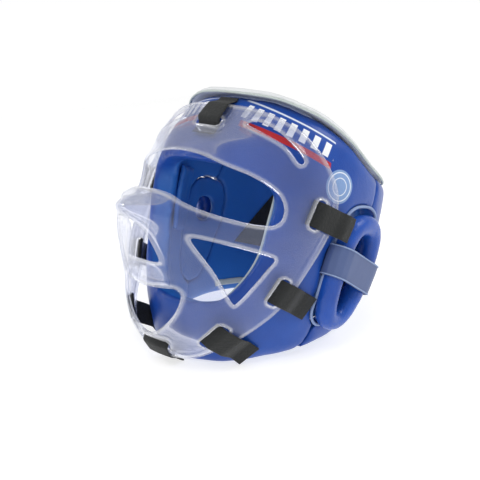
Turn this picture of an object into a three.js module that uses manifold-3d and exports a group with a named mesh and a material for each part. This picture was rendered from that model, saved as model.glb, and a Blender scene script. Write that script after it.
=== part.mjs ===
// Sparring headgear with a clear face shield, in millimetres.
// The head frame has its origin midway between the ears, the face toward -Y, the wearer's left at +X and
// the crown at +Z. The finished group is tipped back, so that it stands on its chin and its nape edge.
// Angles run round the head in degrees, from 0 at the middle of the face to 180 at the nape.

import * as THREE from "three";
import { mergeVertices } from "three/addons/utils/BufferGeometryUtils.js";
import Module from "manifold-3d";

const wasm = await Module();
wasm.setup();

// Driving sizes
const HALF_WIDTH = 105;
const FRONT_REACH = 114;
const BACK_REACH = 125;
const HEIGHT = 240;
const TILT_BACK = 18;
const REST_DROP = 82;

const PAD_THICKNESS = 21;
const BACK_THICKNESS = 17;
const SEAM_GAP = 0.9;
const TOUCH_GAP = 0.35;
const NAPE_SPLIT = 30;

const TEMPLE_PAD_THICKNESS = 7;
const CROWN_WALL = 5;
const CROWN_RISE = 5;
const CROWN_DOME = 6;
const CROWN_INSET = 4;
const CROWN_GAP = 0.85;
const CROWN_COLUMNS = 48;
const BINDING_WIDTH = 7;
const BINDING_THICKNESS = 2;

const SHIELD_WALL = 3;
const SHIELD_STANDOFF = 6;
const NOSE_REACH = 42;
const NOSE_SPREAD = 38;
const NOSE_BUMP = 21;
const NOSE_BUMP_SPREAD = 9;
const NOSE_BUMP_HEIGHT = 11;
const BROW_FLARE = 3;
const BROW_FLARE_HEIGHT = 14;
const BROW_FLARE_END = 66;

const EAR_TUBE_RADIUS = 10;
const EAR_TUBE_PROUD = 2;
const EAR_RING_HALF_DEPTH = 23.5;
const EAR_RING_HALF_HEIGHT = 44;
const EAR_RING_Y = 5;
const EAR_RING_Z = -8;
const EAR_RING_SQUARE = 0.8;
// Lean of the ring's top toward the back, how much its depth grows from middle to top, fall of the band to the back
const EAR_RING_LEAN = 0.12;
const EAR_RING_TAPER = 0.2;
const EAR_BAND_SLOPE = 0.22;
const EAR_BAND_Z = -5.5;
const EAR_BAND_HEIGHT = 28;
const EAR_BAND_THICKNESS = 1.8;
const EAR_BAND_CLEAR = 1.1;
const EAR_LINING_DEPTH = 14;
const EAR_LINING_THICKNESS = 6;

const STRAP_WIDTH = 22;
const STRAP_THICKNESS = 2;
const SLOT_WIDTH = 11;
const SLOT_CLEAR = 0.9;
const RIM_CLEAR = 1.5;
const SLOT_SPARE = 5;
const STRAP_TAIL = 13;
const BACK_STRAP_WIDTH = 50;
const BACK_STRAP_REACH = 34;

// Padded surface, a row for each level. height is a share of HEIGHT, and width, front and back are shares
// of HALF_WIDTH, FRONT_REACH and BACK_REACH.
const LEVELS = [
  { height: -0.5, width: 0.57, front: 0.69, back: 0.7 },
  { height: -0.333, width: 0.8, front: 0.833, back: 0.8 },
  { height: -0.167, width: 0.924, front: 0.912, back: 0.872 },
  { height: 0, width: 0.981, front: 0.965, back: 0.952 },
  { height: 0.167, width: 1, front: 1, back: 0.992 },
  { height: 0.283, width: 0.99, front: 0.974, back: 0.992 },
  { height: 0.375, width: 0.962, front: 0.868, back: 0.968 },
  { height: 0.458, width: 0.905, front: 0.772, back: 0.912 },
  { height: 0.5625, width: 0.69, front: 0.58, back: 0.77 },
];

// Upper rim and lower edge of the padded body, heights as shares of HEIGHT.
const RIM = [
  { angle: 0, top: 0.519, bottom: -0.479 },
  { angle: 30, top: 0.517, bottom: -0.465 },
  { angle: 45, top: 0.5, bottom: -0.44 },
  { angle: 57, top: 0.48, bottom: -0.415 },
  { angle: 68, top: 0.452, bottom: -0.395 },
  { angle: 80, top: 0.415, bottom: -0.37 },
  { angle: 98, top: 0.355, bottom: -0.32 },
  { angle: 121, top: 0.325, bottom: -0.274 },
  { angle: 145, top: 0.315, bottom: -0.244 },
  { angle: 180, top: 0.31, bottom: -0.236 },
];

// Seam between the front shell and the back panel, upright below and above the ear opening.
const SEAM_LOW = { height: -0.12, angle: 82.5 };
const SEAM_HIGH = { height: 0.1, angle: 104.5 };

// How far the clear shield pushes out in front of the face, as a share of NOSE_REACH.
const SHIELD_PUSH = [
  { height: -0.5, push: 0.12 },
  { height: -0.467, push: 0.24 },
  { height: -0.379, push: 0.56 },
  { height: -0.275, push: 0.69 },
  { height: -0.2, push: 0.71 },
  { height: -0.117, push: 0.84 },
  { height: 0.025, push: 1 },
  { height: 0.121, push: 0.79 },
  { height: 0.283, push: 0.1 },
  { height: 0.36, push: 0 },
  { height: 0.5625, push: 0 },
];

// Outlines, drawn from the top round the wearer's left side. Heights are shares of HEIGHT. Those that
// start and end at angle 0 are mirrored onto the wearer's right.
const FACE_OPENING = [
  { angle: 0, height: 0.258 },
  { angle: 16, height: 0.254 },
  { angle: 30, height: 0.24 },
  { angle: 40, height: 0.213 },
  { angle: 44.5, height: 0.175 },
  { angle: 43.5, height: 0.075 },
  { angle: 42, height: -0.033 },
  { angle: 38, height: -0.108 },
  { angle: 29, height: -0.2 },
  { angle: 17, height: -0.235 },
  { angle: 0, height: -0.245 },
];
const EAR_OPENING = [
  { angle: 80, height: 0.154 },
  { angle: 85.5, height: 0.2 },
  { angle: 92.5, height: 0.215 },
  { angle: 102, height: 0.212 },
  { angle: 109, height: 0.18 },
  { angle: 111, height: 0.06 },
  { angle: 108, height: -0.05 },
  { angle: 105, height: -0.145 },
  { angle: 98, height: -0.215 },
  { angle: 90, height: -0.243 },
  { angle: 82, height: -0.238 },
  { angle: 77, height: -0.2 },
  { angle: 76, height: -0.13 },
  { angle: 76, height: -0.04 },
  { angle: 77.5, height: 0.067 },
];
const EAR_HOLE = [
  { angle: 95.5, height: 0.13 },
  { angle: 101, height: 0.112 },
  { angle: 102.5, height: 0.075 },
  { angle: 101, height: 0.038 },
  { angle: 95.5, height: 0.02 },
  { angle: 90, height: 0.038 },
  { angle: 88.5, height: 0.075 },
  { angle: 90, height: 0.112 },
];
const SHIELD_OUTLINE = [
  { angle: 0, height: 0.468 },
  { angle: 19.5, height: 0.466 },
  { angle: 32, height: 0.45 },
  { angle: 47, height: 0.41 },
  { angle: 55, height: 0.369 },
  { angle: 61.5, height: 0.327 },
  { angle: 67, height: 0.279 },
  { angle: 70.5, height: 0.22 },
  { angle: 71, height: 0.14 },
  { angle: 68.5, height: 0.07 },
  { angle: 64, height: -0.027 },
  { angle: 60, height: -0.11 },
  { angle: 55.5, height: -0.19 },
  { angle: 50, height: -0.25 },
  { angle: 42, height: -0.318 },
  { angle: 33.5, height: -0.375 },
  { angle: 24, height: -0.42 },
  { angle: 12, height: -0.442 },
  { angle: 0, height: -0.446 },
];
const EYE_OPENING = [
  { angle: 0, height: 0.285 },
  { angle: 10, height: 0.279 },
  { angle: 22, height: 0.258 },
  { angle: 33, height: 0.24 },
  { angle: 41, height: 0.217 },
  { angle: 46, height: 0.19 },
  { angle: 48.5, height: 0.15 },
  { angle: 48, height: 0.108 },
  { angle: 45, height: 0.083 },
  { angle: 40, height: 0.075 },
  { angle: 30, height: 0.075 },
  { angle: 20, height: 0.085 },
  { angle: 13, height: 0.1 },
  { angle: 8, height: 0.117 },
  { angle: 0, height: 0.122 },
];
const NOSE_TRIANGLE = [
  { angle: 0, height: 0.03 },
  { angle: 1.6, height: 0.018 },
  { angle: 8.8, height: -0.098 },
  { angle: 8.6, height: -0.112 },
  { angle: 7, height: -0.117 },
  { angle: 0, height: -0.119 },
];
const MOUTH_OPENING = [
  { angle: 0, height: -0.196 },
  { angle: 9, height: -0.187 },
  { angle: 14, height: -0.182 },
  { angle: 16.5, height: -0.197 },
  { angle: 16.5, height: -0.23 },
  { angle: 15, height: -0.275 },
  { angle: 11.5, height: -0.32 },
  { angle: 6, height: -0.36 },
  { angle: 0, height: -0.377 },
];
const CHEEK_TRIANGLE = [
  { angle: 17.3, height: 0.002 },
  { angle: 19, height: 0.006 },
  { angle: 32, height: 0.002 },
  { angle: 43.5, height: -0.008 },
  { angle: 48, height: -0.016 },
  { angle: 48.6, height: -0.028 },
  { angle: 46.5, height: -0.06 },
  { angle: 37.6, height: -0.197 },
  { angle: 36, height: -0.21 },
  { angle: 34, height: -0.2 },
  { angle: 26, height: -0.107 },
  { angle: 17.2, height: -0.01 },
];
const BROW_VENT = [
  { angle: 19, height: 0.41 },
  { angle: 24, height: 0.432 },
  { angle: 33.5, height: 0.418 },
  { angle: 42, height: 0.385 },
  { angle: 52.5, height: 0.318 },
  { angle: 50.5, height: 0.3 },
  { angle: 41, height: 0.35 },
  { angle: 28, height: 0.385 },
];

// Straps that tie the shield to the pads. The slot is in the shield and the end lies on the padding.
const STRAPS = [
  { name: "forehead", slotAngle: 0, slotHeight: 0.402, endAngle: 0, endHeight: 0.505, lands: "pad", pair: false },
  { name: "temple", slotAngle: 62.5, slotHeight: 0.153, endAngle: 79.5, endHeight: 0.12, lands: "guard", pair: true },
  { name: "cheek", slotAngle: 53, slotHeight: -0.135, endAngle: 73.5, endHeight: -0.185, lands: "pad", pair: true },
  { name: "jaw", slotAngle: 31, slotHeight: -0.332, endAngle: 52, endHeight: -0.398, lands: "pad", pair: true },
  { name: "chin", slotAngle: 0, slotHeight: -0.405, endAngle: 0, endHeight: -0.475, lands: "pad", pair: false },
];

const radians = THREE.MathUtils.degToRad;

// Smooth reading of a table between its rows.
function read(table, key, column, value) {
  const last = table.length - 1;
  if (value <= table[0][key]) return table[0][column];
  if (value >= table[last][key]) return table[last][column];
  const i = table.findIndex((row) => row[key] > value) - 1;
  const [a, b] = [table[i], table[i + 1]];
  const before = table[Math.max(i - 1, 0)];
  const after = table[Math.min(i + 2, last)];
  const span = b[key] - a[key];
  const slopeA = ((b[column] - before[column]) / (b[key] - before[key])) * span;
  const slopeB = ((after[column] - a[column]) / (after[key] - a[key])) * span;
  const t = (value - a[key]) / span;
  const [t2, t3] = [t * t, t * t * t];
  return (
    a[column] * (2 * t3 - 3 * t2 + 1) + slopeA * (t3 - 2 * t2 + t) + b[column] * (3 * t2 - 2 * t3) + slopeB * (t3 - t2)
  );
}

// Point of the padded surface, moved outward by lift.
function padPoint(angle, z, lift = 0) {
  const height = z / HEIGHT;
  const along = Math.cos(radians(angle));
  const depth =
    along > 0 ? FRONT_REACH * read(LEVELS, "height", "front", height) : BACK_REACH * read(LEVELS, "height", "back", height);
  const width = HALF_WIDTH * read(LEVELS, "height", "width", height);
  return new THREE.Vector3((width + lift) * Math.sin(radians(angle)), -(depth + lift) * along, z);
}

// Height of the shield's outer face above the padded surface.
function shieldLift(angle, z) {
  const height = z / HEIGHT;
  const push = NOSE_REACH * read(SHIELD_PUSH, "height", "push", height) * Math.exp(-((angle / NOSE_SPREAD) ** 2));
  const noseZ = 0.055 * HEIGHT;
  const bump = NOSE_BUMP * Math.exp(-((angle / NOSE_BUMP_SPREAD) ** 2) - ((z - noseZ) / NOSE_BUMP_HEIGHT) ** 2);
  const browZ = 0.345 * HEIGHT;
  const fade = Math.max(0, 1 - (angle / BROW_FLARE_END) ** 4);
  const flare = BROW_FLARE * fade * Math.exp(-(((z - browZ) / BROW_FLARE_HEIGHT) ** 2));
  return SHIELD_STANDOFF + push + bump + flare;
}

const rimTop = (angle) => HEIGHT * read(RIM, "angle", "top", Math.abs(angle));
const rimBottom = (angle) => HEIGHT * read(RIM, "angle", "bottom", Math.abs(angle));
const seamAngle = (z) =>
  THREE.MathUtils.clamp(
    THREE.MathUtils.mapLinear(z / HEIGHT, SEAM_LOW.height, SEAM_HIGH.height, SEAM_LOW.angle, SEAM_HIGH.angle),
    SEAM_LOW.angle,
    SEAM_HIGH.angle,
  );
const steps = (count, from, to) => Array.from({ length: count + 1 }, (_, i) => from + ((to - from) * i) / count);

// Closed body from a grid of points: each row is a closed loop, and the rows follow each other. The two end
// loops are closed by fans, unless the rows themselves close on each other.
function loopBody(rows, ring = false) {
  const n = rows[0].length;
  const points = rows.flat();
  const faces = [];
  const rowCount = ring ? rows.length : rows.length - 1;
  for (let r = 0; r < rowCount; r++) {
    const [a, b] = [r * n, ((r + 1) % rows.length) * n];
    for (let i = 0; i < n; i++) {
      const j = (i + 1) % n;
      faces.push(a + i, a + j, b + j, a + i, b + j, b + i);
    }
  }
  if (!ring) {
    for (const [start, turn] of [[0, 1], [(rows.length - 1) * n, -1]]) {
      const loop = points.slice(start, start + n);
      const centre = loop.reduce((sum, p) => sum.add(p), new THREE.Vector3()).divideScalar(n);
      points.push(centre);
      for (let i = 0; i < n; i++) {
        const [p, q] = turn > 0 ? [(i + 1) % n, i] : [i, (i + 1) % n];
        faces.push(points.length - 1, start + p, start + q);
      }
    }
  }
  return outwardGeometry(points, faces);
}

// Indexed geometry whose faces point out, whichever way the grid was walked.
function outwardGeometry(points, faces) {
  let volume = 0;
  for (let i = 0; i < faces.length; i += 3) {
    const [a, b, c] = [points[faces[i]], points[faces[i + 1]], points[faces[i + 2]]];
    volume += a.dot(new THREE.Vector3().crossVectors(b, c));
  }
  if (volume < 0) {
    for (let i = 0; i < faces.length; i += 3) [faces[i + 1], faces[i + 2]] = [faces[i + 2], faces[i + 1]];
  }
  const geometry = new THREE.BufferGeometry();
  geometry.setAttribute("position", new THREE.Float32BufferAttribute(points.flatMap((p) => p.toArray()), 3));
  geometry.setIndex(faces);
  return geometry;
}

// The same geometry on the wearer's other side.
function mirrorGeometry(geometry) {
  const mirror = geometry.clone();
  mirror.scale(-1, 1, 1);
  const index = mirror.index.array;
  for (let i = 0; i < index.length; i += 3) [index[i + 1], index[i + 2]] = [index[i + 2], index[i + 1]];
  return mirror;
}

function toSolid(geometry) {
  const clean = geometry.clone();
  clean.deleteAttribute("normal");
  clean.deleteAttribute("uv");
  const merged = mergeVertices(clean, 1e-4);
  return new wasm.Manifold(
    new wasm.Mesh({
      numProp: 3,
      vertProperties: new Float32Array(merged.attributes.position.array),
      triVerts: new Uint32Array(merged.index.array),
    }),
  );
}

function toGeometry(solid) {
  const mesh = solid.getMesh();
  const geometry = new THREE.BufferGeometry();
  geometry.setAttribute("position", new THREE.Float32BufferAttribute(mesh.vertProperties, 3));
  geometry.setIndex(Array.from(mesh.triVerts));
  return geometry;
}

// Radial block through the wall inside an outline of angles and heights, used to cut or to trim. Its rings of
// points lie at shares of the padded surface's reach, close together where there are walls.
const BLOCK_RINGS = [0.35, 0.78, 1.02, 1.11, 1.2, 1.3, 1.4, 1.5, 1.65, 2, 6];
function outlineBlock(outline) {
  const flat = outline.map((row) => new THREE.Vector2(row.angle, row.height * HEIGHT));
  const caps = THREE.ShapeUtils.triangulateShape(flat, []);
  const place = (share) =>
    flat.map((p) => {
      const point = padPoint(p.x, p.y);
      return new THREE.Vector3(point.x * share, point.y * share, point.z);
    });
  const points = BLOCK_RINGS.flatMap(place);
  const n = flat.length;
  const last = (BLOCK_RINGS.length - 1) * n;
  const faces = [];
  for (const [a, b, c] of caps) faces.push(a, c, b, last + a, last + b, last + c);
  const turn = THREE.ShapeUtils.isClockWise(flat);
  for (let start = 0; start < last; start += n) {
    for (let i = 0; i < n; i++) {
      const [a, b] = [start + i, start + ((i + 1) % n)];
      if (turn) faces.push(a, b + n, b, a, a + n, b + n);
      else faces.push(a, b, b + n, a, b + n, a + n);
    }
  }
  return toSolid(outwardGeometry(points, faces));
}

// Outline with its corners smoothed by a closed curve.
function smoothOutline(rows, count) {
  const curve = new THREE.CatmullRomCurve3(
    rows.map((row) => new THREE.Vector3(row.angle, row.height * 100, 0)),
    true,
    "centripetal",
  );
  return curve.getPoints(count).slice(0, count).map((p) => ({ angle: p.x, height: p.y / 100 }));
}

const mirrored = (rows) => rows.map((row) => ({ ...row, angle: -row.angle })).reverse();
const bothSides = (half) => [...half, ...mirrored(half).slice(1, -1)];

// Pillow section of a padded wall: up the outer face, over a round lip, down the inner face and round again.
function padSection(low, high, thickness, place, base = 0) {
  const round = Math.min(thickness / 2, (high - low) / 2);
  const loop = [];
  for (const z of steps(7, low + round, high - round)) loop.push(place(z, base));
  for (const turn of [36, 72, 108, 144]) {
    const lift = base - (thickness / 2) * (1 - Math.cos(radians(turn)));
    loop.push(place(high - round + round * Math.sin(radians(turn)), lift));
  }
  for (const z of steps(4, high - round, low + round)) loop.push(place(z, base - thickness));
  for (const turn of [36, 72, 108, 144]) {
    const lift = base - (thickness / 2) * (1 + Math.cos(radians(turn)));
    loop.push(place(low + round - round * Math.sin(radians(turn)), lift));
  }
  return loop;
}

// Wall of padding between two edges, each an angle that may lean with the height.
function padWall(fromAngle, toAngle, count, thickness, low, high, base = 0) {
  const rows = steps(count, 0, 1).map((share) => {
    const angleAt = (z) => fromAngle(z) + (toAngle(z) - fromAngle(z)) * share;
    const place = (z, lift) => padPoint(angleAt(z), z, lift);
    return padSection(low(angleAt(-HEIGHT / 2)), high(angleAt(HEIGHT / 2)), thickness, place, base);
  });
  return loopBody(rows);
}

// The surface that the headgear stands on, as a block under it in the head frame.
const restTurn = new THREE.Matrix4().makeRotationX(-radians(TILT_BACK));
const groundDepth = HEIGHT;
const ground = new THREE.BoxGeometry(4 * HEIGHT, 4 * HEIGHT, groundDepth);
ground.translate(0, 0, -REST_DROP - groundDepth / 2);
ground.applyMatrix4(restTurn.clone().invert());
const groundBlock = toSolid(ground);

// Half of the front wall, from just past the middle to the seam. Its mirror makes up the rest.
const halfFrontWall = (thickness) => toSolid(padWall(() => -1, seamAngle, 22, thickness, rimBottom, rimTop));
const withMirror = (half) => half.add(toSolid(mirrorGeometry(toGeometry(half))));
const napeAngle = 180 - NAPE_SPLIT / 2 / (BACK_REACH * radians(1));
const seamShift = SEAM_GAP / (HALF_WIDTH * radians(1));
const backWall = (thickness) =>
  toSolid(padWall((z) => seamAngle(z) + seamShift, () => napeAngle, 16, thickness, rimBottom, rimTop));

// The ear opening, with the room in its edge that the ear guard and its band take up.
const earSeat = () => {
  const opening = outlineBlock(smoothOutline(EAR_OPENING, 20));
  return opening.add(earGuard(EAR_TUBE_RADIUS + TOUCH_GAP)).add(earBandBlock(TOUCH_GAP));
};

function frontShell() {
  const half = halfFrontWall(PAD_THICKNESS)
    .subtract(outlineBlock(smoothOutline(bothSides(FACE_OPENING), 36)))
    .subtract(earSeat())
    .subtract(groundBlock);
  return withMirror(half);
}

// Back panel of the wearer's left side, which ends short of the nape so that the closing strap shows.
function backPanel() {
  return backWall(BACK_THICKNESS).subtract(earSeat()).subtract(groundBlock);
}

// Lining that closes the ear opening behind the ear guard, with a hole for sound.
function earLining() {
  const fit = (row) => ({ angle: 94 + (row.angle - 94) * 0.97, height: -0.015 + (row.height + 0.015) * 0.985 });
  const [low, high] = [() => -0.3 * HEIGHT, () => 0.27 * HEIGHT];
  const wall = padWall(() => 70, () => 118, 12, EAR_LINING_THICKNESS, low, high, -EAR_LINING_DEPTH);
  return toSolid(wall)
    .intersect(outlineBlock(smoothOutline(EAR_OPENING, 20).map(fit)))
    .subtract(outlineBlock(smoothOutline(EAR_HOLE, 16)));
}

// Inner pad at the temple, on the inside of the front shell, which frames the ear.
function templePad() {
  const low = () => -0.03 * HEIGHT;
  const high = () => 0.24 * HEIGHT;
  const pad = padWall(() => 50, () => 72, 6, TEMPLE_PAD_THICKNESS + 1, low, high, 1 - PAD_THICKNESS);
  return toSolid(pad).subtract(halfFrontWall(PAD_THICKNESS + TOUCH_GAP));
}

// Pale crown: a round lip that stands on the upper rim, and a shallow dome over the head. A ring runs round
// the head at each share of the way in from the lip to the middle.
function crownPad() {
  const lip = [
    { inset: 1, rise: 0 },
    { inset: 0, rise: 0 },
    { inset: -0.12, rise: 0.45 },
    { inset: 0.02, rise: 0.9 },
    { inset: 0.2, rise: 1.15 },
  ];
  const lipWidth = PAD_THICKNESS - CROWN_INSET;
  const around = steps(CROWN_COLUMNS, -180, 180).slice(0, CROWN_COLUMNS);
  const edgeAt = (angle) => padPoint(angle, rimTop(angle) - PAD_THICKNESS / 2, -CROWN_INSET);
  const at = (angle, share, rise) => {
    const edge = edgeAt(angle);
    return new THREE.Vector3(edge.x * (1 - share), edge.y * (1 - share), rimTop(angle) + CROWN_GAP + rise);
  };
  const domeRing = (share, drop) =>
    around.map((angle) => {
      const slope = (crownMiddle() - rimTop(angle) - CROWN_GAP) * share * share;
      return at(angle, share, CROWN_RISE * 1.15 + CROWN_DOME * Math.sin(share * (Math.PI / 2)) - drop + slope);
    });
  const lipRing = ({ inset, rise }) =>
    around.map((angle) => {
      const edge = edgeAt(angle);
      return at(angle, (inset * lipWidth) / Math.hypot(edge.x, edge.y), rise * CROWN_RISE);
    });
  const under = [0.85, 0.55, 0.3].map((share) => domeRing(share, CROWN_WALL));
  const top = [0.25, 0.5, 0.8].map((share) => domeRing(share, 0));
  return toSolid(loopBody([...under, ...lip.map(lipRing), ...top]));
}

const crownMiddle = () => (rimTop(0) + rimTop(180)) / 2 + CROWN_GAP;

// Pale binding on the inside of the nape edge.
function napeBinding() {
  const low = (angle) => rimBottom(angle) + BACK_THICKNESS / 2 - 1;
  const high = (angle) => low(angle) + BINDING_WIDTH;
  const wall = padWall(() => 112, () => napeAngle, 14, BINDING_THICKNESS + 1, low, high, 1 - BACK_THICKNESS);
  return toSolid(wall).subtract(backWall(BACK_THICKNESS + TOUCH_GAP)).subtract(groundBlock);
}

// Clear shield: a moulded wall trimmed to its outline, with its openings and strap slots cut through.
function faceShield() {
  const angles = [-1, 3, 6, 9, 13, 18, 24, 31, 39, 47, 55, 64, 75];
  const heights = [...steps(7, -0.48, -0.09), ...steps(8, -0.05, 0.15), ...steps(6, 0.2, 0.5)].map(
    (share) => share * HEIGHT,
  );
  const place = (angle, z, depth) => {
    const point = padPoint(angle, z);
    const out = new THREE.Vector3(point.x, point.y, 0).normalize();
    return point.addScaledVector(out, shieldLift(angle, z) - depth);
  };
  const rows = angles.map((angle) => [
    ...heights.map((z) => place(angle, z, 0)),
    ...heights.map((z) => place(angle, z, SHIELD_WALL)).reverse(),
  ]);
  const half = stripBody(rows);
  const wall = toSolid(half).add(toSolid(mirrorGeometry(half)));
  let solid = wall.intersect(outlineBlock(smoothOutline(bothSides(SHIELD_OUTLINE), 52)));
  const cuts = [
    smoothOutline(bothSides(EYE_OPENING), 40),
    bothSides(NOSE_TRIANGLE),
    smoothOutline(bothSides(MOUTH_OPENING), 24),
    smoothOutline(CHEEK_TRIANGLE, 18),
    smoothOutline(mirrored(CHEEK_TRIANGLE), 18),
    smoothOutline(BROW_VENT, 14),
    smoothOutline(mirrored(BROW_VENT), 14),
  ];
  for (const outline of cuts) solid = solid.subtract(outlineBlock(outline));
  for (const strap of STRAPS) {
    const slot = slotOutline(strap);
    solid = solid.subtract(outlineBlock(slot));
    if (strap.pair) solid = solid.subtract(outlineBlock(mirrored(slot)));
  }
  return solid;
}

// Wall whose end rows are closed by quads between its outer and inner face.
function stripBody(rows) {
  const n = rows[0].length;
  const points = rows.flat();
  const faces = [];
  for (let r = 0; r < rows.length - 1; r++) {
    const [a, b] = [r * n, (r + 1) * n];
    for (let i = 0; i < n; i++) {
      const j = (i + 1) % n;
      faces.push(a + i, a + j, b + j, a + i, b + j, b + i);
    }
  }
  for (const [start, turn] of [[0, 1], [(rows.length - 1) * n, -1]]) {
    for (let i = 0; i < n / 2 - 1; i++) {
      const quad = [start + i, start + n - 1 - i, start + n - 2 - i, start + i + 1];
      const [a, b, c, d] = turn > 0 ? quad : [...quad].reverse();
      faces.push(a, b, c, a, c, d);
    }
  }
  return outwardGeometry(points, faces);
}

// A strap's course over the padding: its start, its direction and the turn from millimetres to degrees.
function strapCourse(strap) {
  const from = { angle: strap.slotAngle, z: strap.slotHeight * HEIGHT };
  const to = { angle: strap.endAngle, z: strap.endHeight * HEIGHT };
  const degree = (angle, z) => padPoint(angle + 0.5, z).distanceTo(padPoint(angle - 0.5, z));
  const perDegree = degree((from.angle + to.angle) / 2, (from.z + to.z) / 2);
  const slopePerHeight = padPoint(from.angle, from.z + 1).distanceTo(padPoint(from.angle, from.z));
  const run = new THREE.Vector2((to.angle - from.angle) * perDegree, (to.z - from.z) * slopePerHeight);
  const length = run.length();
  const along = run.clone().normalize();
  const across = new THREE.Vector2(-along.y, along.x);
  const at = (s, w) => ({
    angle: from.angle + (along.x * s + across.x * w) / perDegree,
    z: from.z + (along.y * s + across.y * w) / slopePerHeight,
  });
  return { at, length };
}

function slotOutline(strap) {
  const { at } = strapCourse(strap);
  const [halfLength, halfWidth] = [(STRAP_WIDTH + SLOT_SPARE) / 2, SLOT_WIDTH / 2];
  const corner = halfWidth * 0.45;
  const side = steps(3, corner - halfLength, halfLength - corner);
  const path = [
    ...side.map((w) => [halfWidth, w]),
    [halfWidth - corner, halfLength],
    [corner - halfWidth, halfLength],
    ...side.map((w) => [-halfWidth, -w]),
    [corner - halfWidth, -halfLength],
    [halfWidth - corner, -halfLength],
  ];
  return path.map(([s, w]) => {
    const spot = at(s, w);
    return { angle: spot.angle, height: spot.z / HEIGHT };
  });
}

// Webbing strap: its tail lies under the shield, it comes out through the slot, crosses the shield's rim and
// lies down on the padding.
function strap(row) {
  const { at, length } = strapCourse(row);
  const wall = SHIELD_WALL;
  const under = (spot) => shieldLift(spot.angle, spot.z) - wall - STRAP_THICKNESS - 3 * TOUCH_GAP;
  const over = (spot) => shieldLift(spot.angle, spot.z) + 2 * TOUCH_GAP;
  const onPad = () => TOUCH_GAP;
  const onGuard = (spot) => {
    const point = padPoint(spot.angle, spot.z);
    const arm = earArm(-1, spot.z);
    const radius = EAR_TUBE_RADIUS + 2 * TOUCH_GAP;
    const offset = THREE.MathUtils.clamp(point.y - arm.y, -0.8 * radius, 0.8 * radius);
    return arm.x + Math.sqrt(radius ** 2 - offset ** 2) - point.x;
  };
  const landing = row.lands === "guard" ? onGuard : onPad;
  const halfSlot = SLOT_WIDTH / 2 - SLOT_CLEAR;
  const rimReach = edgeReach(at, length);
  const course = [
    { s: -STRAP_TAIL, lift: under },
    { s: -STRAP_TAIL / 2 - 1, lift: under },
    { s: -halfSlot + 1, lift: under },
    { s: halfSlot - 0.2, lift: over },
    { s: (halfSlot + rimReach) / 2, lift: over },
    { s: rimReach + RIM_CLEAR, lift: over },
    { s: rimReach + RIM_CLEAR + (length - rimReach) * 0.28, lift: landing },
    { s: rimReach + (length - rimReach) * 0.65, lift: landing },
    { s: length, lift: landing },
  ];
  const rows = course.map(({ s, lift }) => {
    const corners = [];
    const edges = [-0.5, -0.17, 0.17, 0.5].map((share) => share * STRAP_WIDTH);
    for (const [list, extra] of [[edges, 0], [[...edges].reverse(), STRAP_THICKNESS]]) {
      for (const w of list) {
        const spot = at(s, w);
        const point = padPoint(spot.angle, spot.z);
        const out = new THREE.Vector3(point.x, point.y, 0).normalize();
        corners.push(point.addScaledVector(out, lift(spot) + extra));
      }
    }
    return corners;
  });
  return toSolid(stripBody(rows)).subtract(groundBlock);
}

// Distance along a strap's course at which it has left the shield.
function edgeReach(at, length) {
  const outline = smoothOutline(bothSides(SHIELD_OUTLINE), 72);
  const inside = ({ angle, z }) => {
    let within = false;
    outline.forEach((p, i) => {
      const q = outline[(i + 1) % outline.length];
      const height = z / HEIGHT;
      const crosses = p.height > height !== q.height > height;
      if (crosses && angle < ((q.angle - p.angle) * (height - p.height)) / (q.height - p.height) + p.angle) within = !within;
    });
    return within;
  };
  const edges = [-0.5, 0, 0.5].map((share) => share * STRAP_WIDTH);
  const samples = steps(60, 0, length);
  const covered = samples.filter((s) => edges.some((w) => inside(at(s, w))));
  return covered[covered.length - 1];
}

// Centre of the ear guard's tube at a place on its ring, a little proud of the padded surface.
function earCentre(y, z) {
  const level = (drop) => HALF_WIDTH * read(LEVELS, "height", "width", (z + drop) / HEIGHT);
  const reach = (y > 0 ? BACK_REACH : FRONT_REACH) * read(LEVELS, "height", y > 0 ? "back" : "front", z / HEIGHT);
  const surface = Math.max(level(0), level(EAR_TUBE_RADIUS)) * Math.sqrt(1 - (y / reach) ** 2);
  return new THREE.Vector3(surface + EAR_TUBE_PROUD, y, z);
}

// Place on the ring, from its shares of the half depth and the half height.
function earSpot(across, rise) {
  const depth = EAR_RING_HALF_DEPTH * (1 + EAR_RING_TAPER * rise);
  const lean = EAR_RING_LEAN * EAR_RING_HALF_HEIGHT * rise;
  return earCentre(EAR_RING_Y + depth * across + lean, EAR_RING_Z + EAR_RING_HALF_HEIGHT * rise);
}

// Rounded outline of the ring, a share of a full turn from its top.
function earLoop(share) {
  const turn = share * 2 * Math.PI;
  const squarer = (value) => Math.sign(value) * Math.abs(value) ** EAR_RING_SQUARE;
  return earSpot(squarer(Math.sin(turn)), squarer(Math.cos(turn)));
}

// Centre of the front arm (side -1) or the back arm (side 1) at a height.
function earArm(side, z) {
  const rise = Math.max(-1, Math.min(1, (z - EAR_RING_Z) / EAR_RING_HALF_HEIGHT));
  return earSpot(side * (1 - Math.abs(rise) ** (2 / EAR_RING_SQUARE)) ** (EAR_RING_SQUARE / 2), rise);
}

function earGuard(radius = EAR_TUBE_RADIUS) {
  const count = 32;
  const centre = steps(count, 0, 1).slice(0, count).map(earLoop);
  const rows = centre.map((point, i) => {
    const ahead = centre[(i + 1) % count];
    const behind = centre[(i + count - 1) % count];
    const along = ahead.clone().sub(behind).normalize();
    const side = new THREE.Vector3(1, 0, 0).cross(along).normalize();
    const out = along.clone().cross(side).normalize();
    return steps(10, 0, 2 * Math.PI).slice(0, 10).map((turn) =>
      point
        .clone()
        .addScaledVector(side, radius * Math.cos(turn))
        .addScaledVector(out, radius * Math.sin(turn)),
    );
  });
  return toSolid(loopBody(rows, true));
}

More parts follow.
